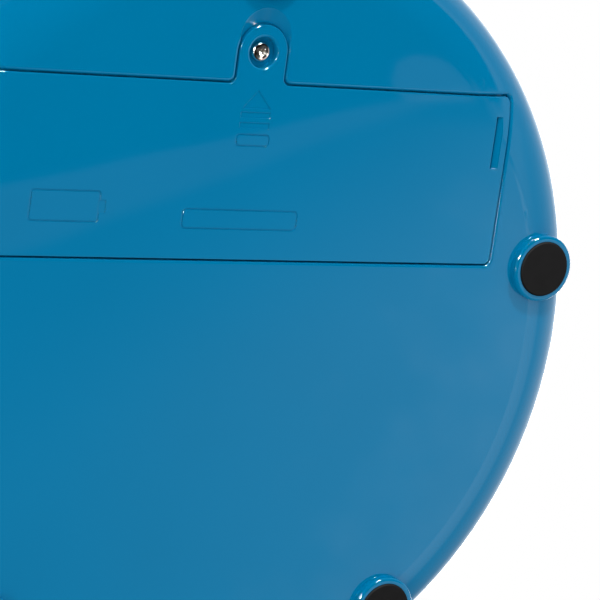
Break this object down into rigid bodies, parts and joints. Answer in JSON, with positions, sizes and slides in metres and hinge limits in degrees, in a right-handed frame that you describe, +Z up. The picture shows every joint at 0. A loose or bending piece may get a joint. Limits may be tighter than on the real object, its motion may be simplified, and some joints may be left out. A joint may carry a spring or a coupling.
{
  "type": "digital bathroom scale",
  "caption": "Round digital bathroom scale: floating top platform on weighing cells, rounded plastic base with rubber feet and a wide screw-locked battery door.",
  "frame": {"origin": "centre of the round body at the floor, on the plane of the foot pads' faces", "axes": "+Z up through the platform, +Y from the disc's centre towards the display, +X to the right of a user who faces +Y"},
  "size_m": [0.3, 0.3, 0.0408],
  "materials": {
    "shell_blue": "glossy blue ABS",
    "platform_blue": "glossy blue ABS",
    "pad_rubber": "matte black rubber",
    "mat_rubber": "matte charcoal elastomer",
    "black_plastic": "fine-grained black ABS",
    "white_plastic": "matte white nylon",
    "brass": "turned brass",
    "nickel_screw": "nickel-plated steel",
    "zinc_screw": "zinc-plated steel",
    "spring_steel": "nickel-plated spring steel",
    "cell_steel": "stamped spring steel",
    "gauge_film": "amber polyimide film",
    "foam": "closed-cell foam",
    "battery_can": "wrapped steel can",
    "circuit_board": "green glass-epoxy board",
    "wire_cover": "PVC wire cover",
    "ribbon_film": "polyester film cable",
    "bezel_plastic": "satin silver-grey ABS",
    "clear_lens": "clear acrylic",
    "lcd_glass": "reflective LCD glass",
    "key_plastic": "satin light grey ABS"
  },
  "bodies": {
    "base": {"base_shell": "shell_blue", "foot_pads": "pad_rubber", "door_screw_insert": "brass", "battery_tray": "black_plastic", "battery_cells": "battery_can", "battery_springs": "spring_steel", "battery_contacts": "spring_steel", "tray_screws": "zinc_screw", "load_cell_brackets": "black_plastic", "load_cells": "cell_steel", "strain_gauges": "gauge_film", "load_cell_screws": "zinc_screw", "load_cell_wires": "wire_cover", "main_board": "circuit_board", "main_chip": "black_plastic", "board_components": "black_plastic", "ribbon_connector": "white_plastic", "board_screws": "zinc_screw", "display_ribbon": "ribbon_film", "battery_leads": "wire_cover", "control_board": "circuit_board", "control_bracket": "black_plastic", "unit_switch_body": "black_plastic", "reset_switch_body": "black_plastic"},
    "platform_top": {"platform": "platform_blue", "anti_slip_mat": "mat_rubber", "display_bezel": "bezel_plastic", "display_lens": "clear_lens", "lcd_panel": "lcd_glass", "zebra_strip": "pad_rubber", "display_board": "circuit_board", "display_carrier": "white_plastic", "carrier_screws": "zinc_screw", "power_switch": "black_plastic", "load_stud_caps": "pad_rubber"},
    "door": {"battery_door": "shell_blue", "battery_foam": "foam", "screw_retaining_washer": "white_plastic"},
    "screw": {"door_screw": "nickel_screw"},
    "unit_slider": {"unit_switch_slider": "white_plastic"},
    "reset_key": {"reset_button": "white_plastic"},
    "power_button": {"power_key": "key_plastic"}
  },
  "joints": [
    {"name": "platform_press", "type": "slide", "parent": "base", "child": "platform_top", "axis": [0, 0, -1], "range_m": [0, 0.0008], "stiffness_N_per_m": 400000, "deforming": ["load_cells", "display_ribbon"]},
    {"name": "door_swing", "type": "hinge", "parent": "base", "child": "door", "pos_m": [0, -0.0273, 0.0038], "axis": [1, 0, 0], "range_deg": [0, 70]},
    {"name": "screw_back_out", "type": "slide", "parent": "door", "child": "screw", "axis": [0, 0, -1], "range_m": [0, 0.005]},
    {"name": "unit_select", "type": "slide", "parent": "base", "child": "unit_slider", "axis": [1, 0, 0], "range_m": [0, 0.0034]},
    {"name": "reset_press", "type": "slide", "parent": "base", "child": "reset_key", "axis": [0, 0, 1], "range_m": [0, 0.0005], "stiffness_N_per_m": 400, "springref_m": -0.0005},
    {"name": "power_press", "type": "slide", "parent": "platform_top", "child": "power_button", "axis": [0, 0, -1], "range_m": [0, 0.0006], "stiffness_N_per_m": 500, "springref_m": -0.0003}
  ]
}
